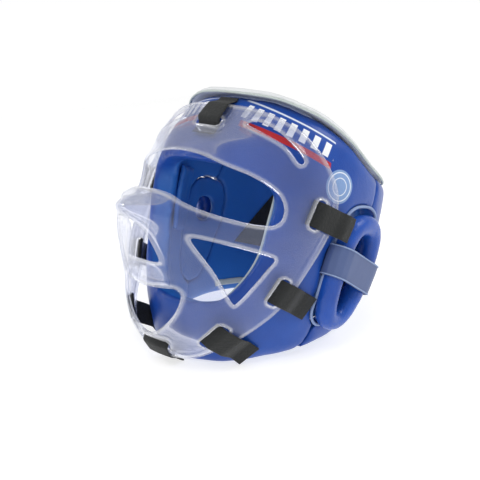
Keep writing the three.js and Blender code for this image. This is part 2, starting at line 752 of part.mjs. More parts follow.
// Flat band wrapped round the middle of both arms of the ear guard. Each loop goes half round both arms.
const bandLevels = (spare = 0) =>
  steps(4, EAR_BAND_Z - EAR_BAND_HEIGHT / 2 - spare, EAR_BAND_Z + EAR_BAND_HEIGHT / 2 + spare);
const bandLoop = (z, radius) =>
  [[1, 0], [-1, 180]].flatMap(([side, start]) => {
    const arm = earArm(side, z - EAR_BAND_SLOPE * side * EAR_RING_HALF_DEPTH);
    return steps(6, start, start + 180).map((turn) => {
      const back = radius * Math.sin(radians(turn));
      return new THREE.Vector3(radius * Math.cos(radians(turn)), back, -EAR_BAND_SLOPE * back).add(arm);
    });
  });
const bandInside = EAR_TUBE_RADIUS + EAR_BAND_CLEAR;

function earBand() {
  const outside = bandLevels().map((z) => bandLoop(z, bandInside + EAR_BAND_THICKNESS));
  const inside = bandLevels().map((z) => bandLoop(z, bandInside)).reverse();
  return toSolid(loopBody([...outside, ...inside], true));
}

// The band and all inside it, with some room round it.
function earBandBlock(room) {
  return toSolid(loopBody(bandLevels(room).map((z) => bandLoop(z, bandInside + EAR_BAND_THICKNESS + room))));
}

// Closing strap across the gap at the nape, laid on both back panels.
function backStrap() {
  const spread = BACK_STRAP_REACH;
  const low = () => 0.02 * HEIGHT;
  const high = () => 0.02 * HEIGHT + BACK_STRAP_WIDTH;
  const rows = steps(16, 180 - spread, 180 + spread).map((angle) => {
    const place = (z, lift) => padPoint(angle, z, lift);
    const levels = steps(4, low(), high());
    return [
      ...levels.map((z) => place(z, TOUCH_GAP + STRAP_THICKNESS)),
      ...levels.map((z) => place(z, TOUCH_GAP)).reverse(),
    ];
  });
  return toSolid(stripBody(rows));
}

const finish = (color, roughness, extra = {}) =>
  new THREE.MeshStandardMaterial({ color, roughness, metalness: 0, side: THREE.FrontSide, ...extra });
const FINISHES = {
  shellBlue: finish(0x2b5cb0, 0.42),
  liningBlue: finish(0x1f5c9c, 0.5),
  guardBlue: finish(0x2f62b8, 0.35),
  bandBlue: finish(0x6c80ac, 0.55),
  crownWhite: finish(0xe6e8e8, 0.5),
  bindingGrey: finish(0xc4ccc8, 0.6),
  webbing: finish(0x323430, 0.85),
  clear: finish(0xdfe4f2, 0.08, { transparent: true, opacity: 0.35 }),
};

const headgear = new THREE.Group();
headgear.rotation.x = -radians(TILT_BACK);

function addPiece(name, solid, material, mirror = false) {
  const geometry = toGeometry(solid);
  const mesh = new THREE.Mesh(mirror ? mirrorGeometry(geometry) : geometry, material);
  mesh.name = name;
  headgear.add(mesh);
}

function addPair(name, solid, material) {
  addPiece(`${name}_left`, solid, material);
  addPiece(`${name}_right`, solid, material, true);
}

addPiece("padded_shell", frontShell(), FINISHES.shellBlue);
addPair("back_panel", backPanel(), FINISHES.shellBlue);
addPair("temple_pad", templePad(), FINISHES.liningBlue);
addPair("nape_binding", napeBinding(), FINISHES.bindingGrey);
addPair("ear_lining", earLining(), FINISHES.liningBlue);
addPiece("crown_pad", crownPad(), FINISHES.crownWhite);
addPair("ear_guard", earGuard(), FINISHES.guardBlue);
addPair("ear_band", earBand(), FINISHES.bandBlue);
addPiece("back_strap", backStrap(), FINISHES.webbing);
addPiece("face_shield", faceShield(), FINISHES.clear);
for (const row of STRAPS) {
  const solid = strap(row);
  if (row.pair) addPair(`strap_${row.name}`, solid, FINISHES.webbing);
  else addPiece(`strap_${row.name}`, solid, FINISHES.webbing);
}

// Stand the group on its rest surface, with its origin at the middle of its footprint.
headgear.updateMatrixWorld(true);
const bounds = new THREE.Box3().setFromObject(headgear, true);
headgear.position.set(0, -(bounds.min.y + bounds.max.y) / 2, REST_DROP);

const part = new THREE.Group();
part.add(headgear);

export default part;
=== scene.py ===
# Sparring headgear with a clear face shield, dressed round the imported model.
# Lengths are in millimetres in the head frame: the origin midway between the ears, the face toward -Y and
# the wearer's left at +X. place() turns them into the metres of the part. Angles are in degrees and run
# round the head from the face.

import math

import bmesh
import bpy
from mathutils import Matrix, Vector, noise


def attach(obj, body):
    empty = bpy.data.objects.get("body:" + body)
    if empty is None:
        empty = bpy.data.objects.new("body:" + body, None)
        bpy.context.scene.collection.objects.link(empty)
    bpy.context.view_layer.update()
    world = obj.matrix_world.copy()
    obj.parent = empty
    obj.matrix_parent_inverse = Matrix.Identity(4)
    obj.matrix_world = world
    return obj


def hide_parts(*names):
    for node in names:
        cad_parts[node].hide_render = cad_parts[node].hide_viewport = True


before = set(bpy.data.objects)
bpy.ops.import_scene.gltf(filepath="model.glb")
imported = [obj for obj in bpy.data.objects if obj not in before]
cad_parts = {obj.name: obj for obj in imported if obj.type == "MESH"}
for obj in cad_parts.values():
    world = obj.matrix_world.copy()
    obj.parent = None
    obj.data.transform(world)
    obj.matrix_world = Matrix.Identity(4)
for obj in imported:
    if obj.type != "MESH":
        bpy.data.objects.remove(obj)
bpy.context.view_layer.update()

MM = 0.001
TILT = math.radians(18)
FORWARD_SHIFT = 13.2095
FLOOR_DROP = 82.0

HALF_WIDTH = 105.0
FRONT_REACH = 114.0
BACK_REACH = 125.0
HEIGHT = 240.0
PAD_THICKNESS = 21.0
BACK_THICKNESS = 17.0
SHIELD_WALL = 3.0
SHIELD_STANDOFF = 6.0

# Padded surface: height as a share of HEIGHT, then width, front and back as shares of their reach.
LEVELS = [
    (-0.5, 0.57, 0.69, 0.7),
    (-0.333, 0.8, 0.833, 0.8),
    (-0.167, 0.924, 0.912, 0.872),
    (0, 0.981, 0.965, 0.952),
    (0.167, 1, 1, 0.992),
    (0.283, 0.99, 0.974, 0.992),
    (0.375, 0.962, 0.868, 0.968),
    (0.458, 0.905, 0.772, 0.912),
    (0.5625, 0.69, 0.58, 0.77),
]
# How far the shield pushes out in front of the face: height, and push as a share of NOSE_REACH.
NOSE_REACH = 42.0
NOSE_SPREAD = 38.0
SHIELD_PUSH = [
    (-0.5, 0.12),
    (-0.467, 0.24),
    (-0.379, 0.56),
    (-0.275, 0.69),
    (-0.2, 0.71),
    (-0.117, 0.84),
    (0.025, 1),
    (0.121, 0.79),
    (0.283, 0.1),
    (0.36, 0),
    (0.5625, 0),
]

# Ridge over the nose, which stands further out, and a flare toward the brow: height in millimetres, spread
# in degrees, level as a share of HEIGHT, and spread up and down in millimetres
RIDGE_REACH = 21.0
RIDGE_SPREAD = 9.0
RIDGE_LEVEL = 0.055
RIDGE_RISE = 11.0
FLARE_REACH = 3.0
FLARE_SPREAD = 66.0
FLARE_LEVEL = 0.345
FLARE_RISE = 14.0

# Outlines as angle and height. Those that start and end at angle 0 are mirrored onto the other side.
SHIELD_OUTLINE = [
    (0, 0.468), (19.5, 0.466), (32, 0.45), (47, 0.41), (55, 0.369), (61.5, 0.327), (67, 0.279),
    (70.5, 0.22), (71, 0.14), (68.5, 0.07), (64, -0.027), (60, -0.11), (55.5, -0.19), (50, -0.25),
    (42, -0.318), (33.5, -0.375), (24, -0.42), (12, -0.442), (0, -0.446),
]
EYE_OPENING = [
    (0, 0.285), (10, 0.279), (22, 0.258), (33, 0.24), (41, 0.217), (46, 0.19), (48.5, 0.15),
    (48, 0.108), (45, 0.083), (40, 0.075), (30, 0.075), (20, 0.085), (13, 0.1), (8, 0.117), (0, 0.122),
]
NOSE_TRIANGLE = [(0, 0.03), (1.6, 0.018), (8.8, -0.098), (8.6, -0.112), (7, -0.117), (0, -0.119)]
MOUTH_OPENING = [
    (0, -0.196), (9, -0.187), (14, -0.182), (16.5, -0.197), (16.5, -0.23), (15, -0.275),
    (11.5, -0.32), (6, -0.36), (0, -0.377),
]
CHEEK_TRIANGLE = [
    (17.3, 0.002), (19, 0.006), (32, 0.002), (43.5, -0.008), (48, -0.016), (48.6, -0.028),
    (46.5, -0.06), (37.6, -0.197), (36, -0.21), (34, -0.2), (26, -0.107), (17.2, -0.01),
]
BROW_VENT = [
    (19, 0.41), (24, 0.432), (33.5, 0.418), (42, 0.385), (52.5, 0.318), (50.5, 0.3), (41, 0.35), (28, 0.385),
]
EAR_OPENING = [
    (80, 0.154), (85.5, 0.2), (92.5, 0.215), (102, 0.212), (109, 0.18), (111, 0.06), (108, -0.05),
    (105, -0.145), (98, -0.215), (90, -0.243), (82, -0.238), (77, -0.2), (76, -0.13), (76, -0.04),
    (77.5, 0.067),
]

# Upper rim of the padding, as angle and height, and how the crown sits on it
RIM_TOP = [
    (0, 0.519), (30, 0.517), (45, 0.5), (57, 0.48), (68, 0.452), (80, 0.415), (98, 0.355), (121, 0.325),
    (145, 0.315), (180, 0.31),
]
CROWN_INSET = 4.0
CROWN_GAP = 0.85

# Edge of the face opening that the pale seam follows, and how deep in the padding the seam lies
FACE_OPENING_SIDE = [
    (43.5, 0.2), (44.5, 0.175), (43.5, 0.075), (42, -0.033), (38, -0.108), (33, -0.165), (29, -0.2),
]
SEAM_DEPTH = 0.86

STRAP_WIDTH = 22.0
STRAP_THICKNESS = 2.0
SLOT_WIDTH = 11.0
SLOT_SPARE = 5.0
# name, slot angle and height, end angle and height, what it lands on, whether there is one on each side,
# length of the tail behind the shield
STRAPS = [
    ("forehead", (0, 0.402), (0, 0.505), "pad", False, 13),
    ("temple", (62.5, 0.153), (79.5, 0.12), "guard", True, 6.5),
    ("cheek", (53, -0.135), (73.5, -0.185), "pad", True, 6.5),
    ("jaw", (31, -0.332), (52, -0.398), "pad", True, 6.5),
    ("chin", (0, -0.405), (0, -0.475), "pad", False, 8),
]

EAR_TUBE_RADIUS = 10.0
EAR_TUBE_PROUD = 2.0
EAR_RING_HALF_DEPTH = 23.5
EAR_RING_HALF_HEIGHT = 44.0
EAR_RING_Y = 5.0
EAR_RING_Z = -8.0
EAR_RING_SQUARE = 0.8
EAR_RING_LEAN = 0.12
EAR_RING_TAPER = 0.2
EAR_BAND_SLOPE = 0.22
EAR_BAND_Z = -5.5
EAR_BAND_HEIGHT = 28.0
EAR_BAND_RADIUS = 12.9
EAR_BAND_EDGE = 0.46

BACK_STRAP_REACH = 34.0
BACK_STRAP_WIDTH = 50.0
BACK_STRAP_LOW = 0.02

# Loop panel inside the back: where it starts and ends in degrees, the slant of its end, and its height
PANEL_START = 184.0
PANEL_END = 218.0
PANEL_SLANT = 0.32
PANEL_SLANT_FROM = 48.0
PANEL_MIDDLE = 20.0
PANEL_HEIGHT = 62.0
PANEL_THICKNESS = 1.4
PANEL_CLEAR = 2.2

# Printed bars: where they start in degrees and how far they run, then height, fall and bow in millimetres
PRINT_START = 14
PRINT_RUN = 51
PRINT_HEIGHT = 111.0
PRINT_FALL = -21.5
PRINT_BOW = 8
PRINT_HALF_HEIGHT = 6.5
PRINT_BARS = 8
PRINT_SIDE_REACH = 98
PRINT_FRONT_REACH = 93.6
BADGE_ANGLE = 73
BADGE_HEIGHT = 63.5
BADGE_RADIUS = 14.5


# Shape of the head
def read(table, column, value):
    """Smooth reading of a table between its rows."""
    if value <= table[0][0]:
        return table[0][column]
    if value >= table[-1][0]:
        return table[-1][column]
    i = next(k for k, row in enumerate(table) if row[0] > value) - 1
    a, b = table[i], table[i + 1]
    before, after = table[max(i - 1, 0)], table[min(i + 2, len(table) - 1)]
    span = b[0] - a[0]
    slope_a = (b[column] - before[column]) / (b[0] - before[0]) * span
    slope_b = (after[column] - a[column]) / (after[0] - a[0]) * span
    t = (value - a[0]) / span
    t2, t3 = t * t, t * t * t
    return (
        a[column] * (2 * t3 - 3 * t2 + 1) + slope_a * (t3 - 2 * t2 + t)
        + b[column] * (3 * t2 - 2 * t3) + slope_b * (t3 - t2)
    )


def pad_point(angle, z, lift=0.0):
    """Point of the padded surface, moved outward by lift along its flat direction from the head's axis."""
    turn = math.radians(angle)
    along = math.cos(turn)
    height = z / HEIGHT
    depth = FRONT_REACH * read(LEVELS, 2, height) if along > 0 else BACK_REACH * read(LEVELS, 3, height)
    point = Vector((HALF_WIDTH * read(LEVELS, 1, height) * math.sin(turn), -depth * along, z))
    out = Vector((point.x, point.y, 0)).normalized()
    return point + out * lift


def shield_lift(angle, z):
    """Height of the shield's outer face above the padded surface."""
    push = NOSE_REACH * read(SHIELD_PUSH, 1, z / HEIGHT) * math.exp(-((angle / NOSE_SPREAD) ** 2))
    ridge_height = (z - RIDGE_LEVEL * HEIGHT) / RIDGE_RISE
    ridge = RIDGE_REACH * math.exp(-((angle / RIDGE_SPREAD) ** 2) - ridge_height ** 2)
    fade = max(0.0, 1 - (angle / FLARE_SPREAD) ** 4)
    flare = FLARE_REACH * fade * math.exp(-(((z - FLARE_LEVEL * HEIGHT) / FLARE_RISE) ** 2))
    return SHIELD_STANDOFF + push + ridge + flare


def ear_centre(y, z):
    """Centre of the ear guard's tube, a little proud of the padded surface."""
    def half_width(level):
        return HALF_WIDTH * read(LEVELS, 1, level / HEIGHT)

    height = z / HEIGHT
    reach = BACK_REACH * read(LEVELS, 3, height) if y > 0 else FRONT_REACH * read(LEVELS, 2, height)
    surface = max(half_width(z), half_width(z + EAR_TUBE_RADIUS)) * math.sqrt(1 - (y / reach) ** 2)
    return Vector((surface + EAR_TUBE_PROUD, y, z))


def ear_arm(side, z):
    """Centre of the ear guard's front arm (side -1) or back arm (side 1) at a height."""
    rise = max(-1.0, min(1.0, (z - EAR_RING_Z) / EAR_RING_HALF_HEIGHT))
    across = side * (1 - abs(rise) ** (2 / EAR_RING_SQUARE)) ** (EAR_RING_SQUARE / 2)
    depth = EAR_RING_HALF_DEPTH * (1 + EAR_RING_TAPER * rise)
    return ear_centre(EAR_RING_Y + depth * across + EAR_RING_LEAN * EAR_RING_HALF_HEIGHT * rise, z)


def band_loop(z):
    """Line round the ear guard's band at a height, on its outer face."""
    points = []
    for side, start in ((1, 0), (-1, 180)):
        arm = ear_arm(side, z - EAR_BAND_SLOPE * side * EAR_RING_HALF_DEPTH)
        for k in range(13):
            turn = math.radians(start + k * 15)
            back = EAR_BAND_RADIUS * math.sin(turn)
            points.append(arm + Vector((EAR_BAND_RADIUS * math.cos(turn), back, -EAR_BAND_SLOPE * back)))
    return points


def place(point):
    """Head frame in millimetres to the part's frame in metres."""
    y = point.y * math.cos(TILT) + point.z * math.sin(TILT) + FORWARD_SHIFT
    z = -point.y * math.sin(TILT) + point.z * math.cos(TILT) + FLOOR_DROP
    return Vector((point.x, y, z)) * MM


def smooth_outline(rows, count):
    """Closed curve through the rows, with its corners rounded."""
    points = [Vector((angle, height * 100, 0)) for angle, height in rows]
    n = len(points)
    dense = []
    for i in range(n):
        p0, p1, p2, p3 = (points[(i + k - 1) % n] for k in range(4))
        t0 = 0.0
        t1 = t0 + max((p1 - p0).length ** 0.5, 1e-4)
        t2 = t1 + max((p2 - p1).length ** 0.5, 1e-4)
        t3 = t2 + max((p3 - p2).length ** 0.5, 1e-4)
        for k in range(8):
            t = t1 + (t2 - t1) * k / 8
            a1 = p0 * ((t1 - t) / (t1 - t0)) + p1 * ((t - t0) / (t1 - t0))
            a2 = p1 * ((t2 - t) / (t2 - t1)) + p2 * ((t - t1) / (t2 - t1))
            a3 = p2 * ((t3 - t) / (t3 - t2)) + p3 * ((t - t2) / (t3 - t2))
            b1 = a1 * ((t2 - t) / (t2 - t0)) + a2 * ((t - t0) / (t2 - t0))
            b2 = a2 * ((t3 - t) / (t3 - t1)) + a3 * ((t - t1) / (t3 - t1))
            dense.append(b1 * ((t2 - t) / (t2 - t1)) + b2 * ((t - t1) / (t2 - t1)))
    lengths = [0.0]
    for a, b in zip(dense, dense[1:] + dense[:1]):
        lengths.append(lengths[-1] + (b - a).length)
    result = []
    k = 0
    for i in range(count):
        target = lengths[-1] * i / count
        while lengths[k + 1] < target:
            k += 1
        share = (target - lengths[k]) / (lengths[k + 1] - lengths[k])
        spot = dense[k].lerp(dense[(k + 1) % len(dense)], share)
        result.append((spot.x, spot.y / 100))
    return result


def curve_through(rows, between):
    """Open smooth line through the rows, with some points between each pair."""
    line = []
    for i in range(len(rows) - 1):
        p0, p1, p2, p3 = (Vector(rows[max(0, min(len(rows) - 1, i + k - 1))]) for k in range(4))
        for k in range(between):
            t = k / between
            bend_in = (p0 * 2 - p1 * 5 + p2 * 4 - p3) * t * t
            bend_out = (p1 * 3 - p0 - p2 * 3 + p3) * t ** 3
            line.append(tuple(p1 + ((p2 - p0) * t + bend_in + bend_out) * 0.5))
    return line + [rows[-1]]


def mirrored(rows):
    return [(-angle, height) for angle, height in reversed(rows)]


def both_sides(half):
    return half + mirrored(half)[1:-1]


# Mesh helpers
def new_object(name, mesh):
    obj = bpy.data.objects.new(name, mesh)
    bpy.context.collection.objects.link(obj)
    return obj


def from_bmesh(name, bm):
    mesh = bpy.data.meshes.new(name)
    bm.to_mesh(mesh)
    bm.free()
    return new_object(name, mesh)


def baked(obj):
    """Apply all modifiers of an object to its mesh."""
    graph = bpy.context.evaluated_depsgraph_get()
    graph.update()
    mesh = bpy.data.meshes.new_from_object(obj.evaluated_get(graph))
    obj.modifiers.clear()
    old = obj.data
    obj.data = mesh
    bpy.data.meshes.remove(old)
    return obj


def remesh(obj, size):
    modifier = obj.modifiers.new("remesh", "REMESH")
    modifier.mode = "VOXEL"
    modifier.voxel_size = size * MM
    modifier.use_smooth_shade = True
    return baked(obj)


def relax(obj, rounds):
    modifier = obj.modifiers.new("relax", "SMOOTH")
    modifier.factor = 0.5
    modifier.iterations = rounds
    return baked(obj)


def subdivide(obj):
    modifier = obj.modifiers.new("subdivide", "SUBSURF")
    modifier.levels = 1
    modifier.render_levels = 1
    return baked(obj)


def shade_smooth(obj):
    for polygon in obj.data.polygons:
        polygon.use_smooth = True


def bend(obj, function):
    """Move every vertex of a flat mesh to its place on the head."""
    for vertex in obj.data.vertices:
        vertex.co = place(function(vertex.co.x, vertex.co.y, vertex.co.z))
    obj.data.update()


def outward(obj):
    bm = bmesh.new()
    bm.from_mesh(obj.data)
    bmesh.ops.remove_doubles(bm, verts=bm.verts, dist=1e-6)
    bmesh.ops.recalc_face_normals(bm, faces=bm.faces)
    bm.to_mesh(obj.data)
    bm.free()


def copy_of(node, name):
    """Merged copy of a CAD node's mesh."""
    bm = bmesh.new()
    bm.from_mesh(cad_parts[node].data)
    bmesh.ops.remove_doubles(bm, verts=bm.verts, dist=1e-6)
    return from_bmesh(name, bm)


def tube_mesh(name, spots, radius, closed):
    """Round tube along spots in metres, with its radius in millimetres."""
    curve = bpy.data.curves.new(name, "CURVE")
    curve.dimensions = "3D"
    curve.bevel_depth = radius * MM
    curve.bevel_resolution = 3
    curve.use_fill_caps = True
    spline = curve.splines.new("POLY")
    spline.points.add(len(spots) - 1)
    for item, spot in zip(spline.points, spots):
        item.co = (*spot, 1)
    spline.use_cyclic_u = closed
    holder = bpy.data.objects.new(name, curve)
    bpy.context.collection.objects.link(holder)
    graph = bpy.context.evaluated_depsgraph_get()
    graph.update()
    mesh = bpy.data.meshes.new_from_object(holder.evaluated_get(graph))
    bpy.data.objects.remove(holder)
    bpy.data.curves.remove(curve)
    return mesh


def finish_piece(obj, material, slot, *nodes, fill=None):
    """Give a piece its material and smooth shading, attach it to the root and hide the CAD parts it stands
    for. fill, how full it is, is not used.
    """
    obj.data.materials.clear()
    obj.data.materials.append(material)
    shade_smooth(obj)
    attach(obj, "root")
    if nodes:
        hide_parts(*nodes)
    return obj


# Sums of shader sockets
class Value:
    """A shader socket that takes part in sums."""

    def __init__(self, tree, socket):
        self.tree = tree
        self.socket = socket

    def maths(self, operation, *others):
        node = self.tree.nodes.new("ShaderNodeMath")
        node.operation = operation
        for index, item in enumerate((self, *others)):
            link(self.tree, node.inputs[index], item)
        return Value(self.tree, node.outputs[0])

    def __add__(self, other):
        return self.maths("ADD", other)

    __radd__ = __add__

    def __mul__(self, other):
        return self.maths("MULTIPLY", other)

    __rmul__ = __mul__

    def __sub__(self, other):
        return self.maths("SUBTRACT", other)

    def __rsub__(self, other):
        return (self * -1) + other

    def __truediv__(self, other):
        return self.maths("DIVIDE", other)

    def above(self, edge, soft=0.0001):
        """1 where the value is over edge, 0 where it is under."""
        return ((self - edge) / soft + 0.5).clamp()

    def between(self, low, high, soft=0.0001):
        return self.above(low, soft) * (1 - self.above(high, soft))

    def clamp(self):
        return self.maths("MINIMUM", 1.0).maths("MAXIMUM", 0.0)

    def fract(self):
        return self.maths("FRACT")

    def size(self):
        return self.maths("ABSOLUTE")


def link(tree, socket, item):
    if isinstance(item, Value):
        tree.links.new(item.socket, socket)
    else:
        socket.default_value = item


class Finish:
    """A material and the nodes that make it."""

    def __init__(self, name):
        self.material = bpy.data.materials.new(name)
        self.material.use_nodes = True
        self.tree = self.material.node_tree
        self.tree.nodes.clear()
        self.output = self.tree.nodes.new("ShaderNodeOutputMaterial")

    def node(self, kind, settings=None, inputs=None, output=0):
        node = self.tree.nodes.new(kind)
        for key, item in (settings or {}).items():
            setattr(node, key, item)
        for key, item in (inputs or {}).items():
            link(self.tree, node.inputs[key], item)
        return Value(self.tree, node.outputs[output])

    def coordinates(self):
        return self.node("ShaderNodeTexCoord", output="Object")

    def parts(self, vector):
        split = self.tree.nodes.new("ShaderNodeSeparateXYZ")
        link(self.tree, split.inputs[0], vector)
        return [Value(self.tree, out) for out in split.outputs]

    def noise(self, where, scale, detail=2.0, roughness=0.5):
        inputs = {"Vector": where, "Scale": scale, "Detail": detail, "Roughness": roughness}
        return self.node("ShaderNodeTexNoise", None, inputs)

    def cells(self, where, scale):
        inputs = {"Vector": where, "Scale": scale, "Randomness": 1.0}
        return self.node("ShaderNodeTexVoronoi", {"feature": "F1"}, inputs)

    def mix(self, share, first, second):
        node = self.tree.nodes.new("ShaderNodeMix")
        node.data_type = "RGBA"
        link(self.tree, node.inputs[0], share)
        link(self.tree, node.inputs[6], first)
        link(self.tree, node.inputs[7], second)
        return Value(self.tree, node.outputs[2])

    def bump(self, height, distance, strength=1.0, normal=None):
        inputs = {"Height": height, "Distance": distance, "Strength": strength}
        if normal is not None:
            inputs["Normal"] = normal
        return self.node("ShaderNodeBump", None, inputs)

    def surface(self, color, roughness, normal=None, **constants):
        inputs = {"Base Color": color, "Roughness": roughness}
        if normal is not None:
            inputs["Normal"] = normal
        for key, item in constants.items():
            inputs[key.replace("_", " ")] = item
        return self.node("ShaderNodeBsdfPrincipled", None, inputs)

    def close(self, shader):
        self.tree.links.new(shader.socket, self.output.inputs["Surface"])
        return self.material


def rgb(red, green, blue):
    """Screen colour of 0 to 255 as a shader colour."""
    def linear(value):
        share = value / 255
        return share / 12.92 if share <= 0.04045 else ((share + 0.055) / 1.055) ** 2.4

    return (linear(red), linear(green), linear(blue), 1.0)


# Materials
def leather(name, color, dark, roughness=0.4, grain=0.5, decorate=None):
    """Smooth leather-look skin: fine grain, soft creases and slow changes of tone."""
    finish = Finish(name)
    where = finish.coordinates()
    tone = finish.noise(where, 22, 3)
    skin = finish.mix(tone.above(0.5, 0.5), dark, color)
    if decorate:
        skin = decorate(finish, where, skin)
    pores = finish.cells(where, 850)
    creases = finish.noise(where, 55, 4, 0.6)
    rough = tone * 0.12 + (roughness - 0.06)
    normal = finish.bump(creases, 0.0016 * grain, 0.5)
    normal = finish.bump(pores, 0.0003 * grain, 0.6, normal)
    coat = {"Specular_IOR_Level": 0.4, "Coat_Weight": 0.06, "Coat_Roughness": 0.25}
    return finish.close(finish.surface(skin, rough, normal, **coat))


def head_frame(finish, where):
    """Angle round the head, its height in millimetres, from the part's coordinates."""
    x, y, z = finish.parts(where)
    across = x.size() * 1000
    y = y * 1000 - FORWARD_SHIFT
    z = z * 1000 - FLOOR_DROP
    back = y * math.cos(TILT) - z * math.sin(TILT)
    up = y * math.sin(TILT) + z * math.cos(TILT)
    forward = back / -PRINT_FRONT_REACH
    angle = (across / PRINT_SIDE_REACH).maths("ARCTAN2", forward) * (180 / math.pi)
    return across, back, angle, up


def inside_mask(finish, where):
    """1 on faces that look toward the wearer's head."""
    geometry = finish.tree.nodes.new("ShaderNodeNewGeometry")
    normal = Value(finish.tree, geometry.outputs["Normal"])
    normal_x, normal_y = finish.parts(normal)[:2]
    x, y = finish.parts(where)[:2]
    facing = normal_x * x + normal_y * y
    return 1 - facing.above(-0.01, 0.03)


def shell_print(finish, where, skin):
    """Slanted white bars, a red line under them and a white one over, a pale round badge, and the lining."""
    across, back, angle, up = head_frame(finish, where)
    share = (angle - PRINT_START) / PRINT_RUN
    middle = share * PRINT_FALL + PRINT_HEIGHT + (share * (1 - share)) * PRINT_BOW
    rise = (up - middle) / PRINT_HALF_HEIGHT
    lining = inside_mask(finish, where)
    outside = 1 - lining
    run = share.between(0, 1, 0.01)
    stripes = (share * PRINT_BARS - rise * 0.18).fract().between(0.14, 0.66, 0.03)
    bars = stripes * rise.between(-0.95, 0.95, 0.04) * run
    under = rise.between(-2.2, -1.35, 0.04) * share.between(0.02, 0.98, 0.01)
    over = rise.between(1.35, 1.6, 0.04) * share.between(-0.05, 1.02, 0.01)
    skin = finish.mix(bars * outside, skin, rgb(244, 246, 248))
    skin = finish.mix(under * outside, skin, rgb(190, 40, 45))
    skin = finish.mix(over * outside, skin, rgb(215, 222, 235))
    centre = pad_point(BADGE_ANGLE, BADGE_HEIGHT)
    dx, dy, dz = across - centre.x, back - centre.y, up - centre.z
    distance = (dx * dx + dy * dy + dz * dz).maths("SQRT")
    disc = distance.between(-1, BADGE_RADIUS, 0.15)
    rings = distance.between(11.6, 12.6, 0.15) + distance.between(7.0, 7.8, 0.15)
    badge = finish.mix(rings, rgb(128, 158, 205), rgb(225, 232, 242))
    skin = finish.mix(disc * outside, skin, badge)
    return finish.mix(lining * 0.85, skin, rgb(52, 122, 205))


def clear_plastic():
    """Clear moulded plastic, a little milky and blue, shinier near its lips, where a painted highlight also
    whitens it.
    """
    finish = Finish("clear_plastic")
    where = finish.coordinates()
    lip_highlight = finish.node("ShaderNodeAttribute", {"attribute_name": "lip_highlight"}, None, "Fac")
    haze = finish.noise(where, 14, 2)
    # Painted highlight: the plastic's blue tint turns white near the edges, standing in for the glints along
    # the lips.
    tint_and_lip_highlight = finish.mix(lip_highlight, rgb(182, 198, 244), rgb(248, 248, 250))
    milk = finish.surface(tint_and_lip_highlight, 0.15, None, Specular_IOR_Level=0.5)
    see = finish.node("ShaderNodeBsdfTransparent", None, {"Color": (0.945, 0.952, 0.985, 1)})
    # Milk share: random haze, plus a painted highlight that whitens the sheet near its edges.
    milk_and_lip_highlight = haze * 0.05 + lip_highlight * 0.14 + 0.035
    body = finish.node("ShaderNodeMixShader", None, {0: milk_and_lip_highlight, 1: see, 2: milk})
    gloss = finish.surface((1, 1, 1, 1), 0.06, None, Metallic=1.0)
    fresnel = finish.node("ShaderNodeFresnel", None, {"IOR": 1.5})
    shine = fresnel * 0.55 + lip_highlight * 0.06
    return finish.close(finish.node("ShaderNodeMixShader", None, {0: shine, 1: body, 2: gloss}))


def webbing():
    """Dark looped webbing."""
    finish = Finish("webbing")
    where = finish.coordinates()
    loops = finish.noise(where, 900, 3, 0.7)
    ribs = finish.cells(where, 420)
    tone = finish.noise(where, 60, 2)
    skin = finish.mix(loops * 0.5 + tone * 0.4, rgb(20, 22, 23), rgb(50, 52, 52))
    normal = finish.bump(loops + ribs * 0.6, 0.0008, 0.8)
    shader = finish.surface(skin, 0.85, normal, Sheen_Weight=0.08, Sheen_Roughness=0.5)
    return finish.close(shader)


def fabric(name, color, dark):
    """Woven edging with a fine weave."""
    finish = Finish(name)
    where = finish.coordinates()
    weave = finish.noise(where, 700, 2, 0.6)
    skin = finish.mix(weave, dark, color)
    normal = finish.bump(weave, 0.0005, 0.6)
    return finish.close(finish.surface(skin, 0.75, normal))


SHELL = leather("shell_leather", rgb(24, 80, 172), rgb(16, 62, 148), 0.36, 0.6, shell_print)
LINING = leather("lining_leather", rgb(50, 118, 200), rgb(40, 102, 182), 0.4, 0.6)
GUARD = leather("guard_leather", rgb(30, 86, 184), rgb(20, 68, 158), 0.26, 0.8)
# The band's grey-blue is painted sheen: the pale light reflected off its flat outer face, laid into the
# colour of blue leather.
BAND_PAINTED_SHEEN = leather("band_leather_painted_sheen", rgb(88, 106, 150), rgb(76, 92, 136), 0.5, 0.5)
CROWN = leather("crown_leather", rgb(232, 234, 235), rgb(220, 223, 225), 0.45, 0.5)
CLEAR = clear_plastic()
WEBBING = webbing()
BINDING = fabric("edge_binding", rgb(206, 214, 210), rgb(176, 186, 184))
PIPING = fabric("ear_piping", rgb(160, 178, 210), rgb(120, 142, 185))


# Camera, light and stage
def look_from(azimuth, elevation, distance, target):
    """Camera that looks at target, its azimuth counted from the face toward the wearer's left."""
    camera_data = bpy.data.cameras.new("camera")
    camera = bpy.data.objects.new("camera", camera_data)
    bpy.context.collection.objects.link(camera)
    turn, rise = math.radians(azimuth), math.radians(elevation)
    away = Vector((math.sin(turn) * math.cos(rise), -math.cos(turn) * math.cos(rise), math.sin(rise)))
    camera.location = target + away * distance
    camera.rotation_euler = (-away).to_track_quat("-Z", "Y").to_euler()
    camera_data.lens = 54
    camera_data.sensor_width = 36
    camera_data.clip_start = 0.01
    camera_data.clip_end = 100
    bpy.context.scene.camera = camera


LIGHT_TARGET = Vector((0, 0, 0.1))


def soft_light(name, position, power, size, glints=True):
    """Square light that faces the headgear. Without glints it doesn't show in reflections."""
    data = bpy.data.lights.new(name, "AREA")
    data.energy = power
    data.size = size
    light = bpy.data.objects.new(name, data)
    bpy.context.collection.objects.link(light)
    light.visible_glossy = glints
    light.location = position
    light.rotation_euler = (LIGHT_TARGET - Vector(position)).to_track_quat("-Z", "Y").to_euler()


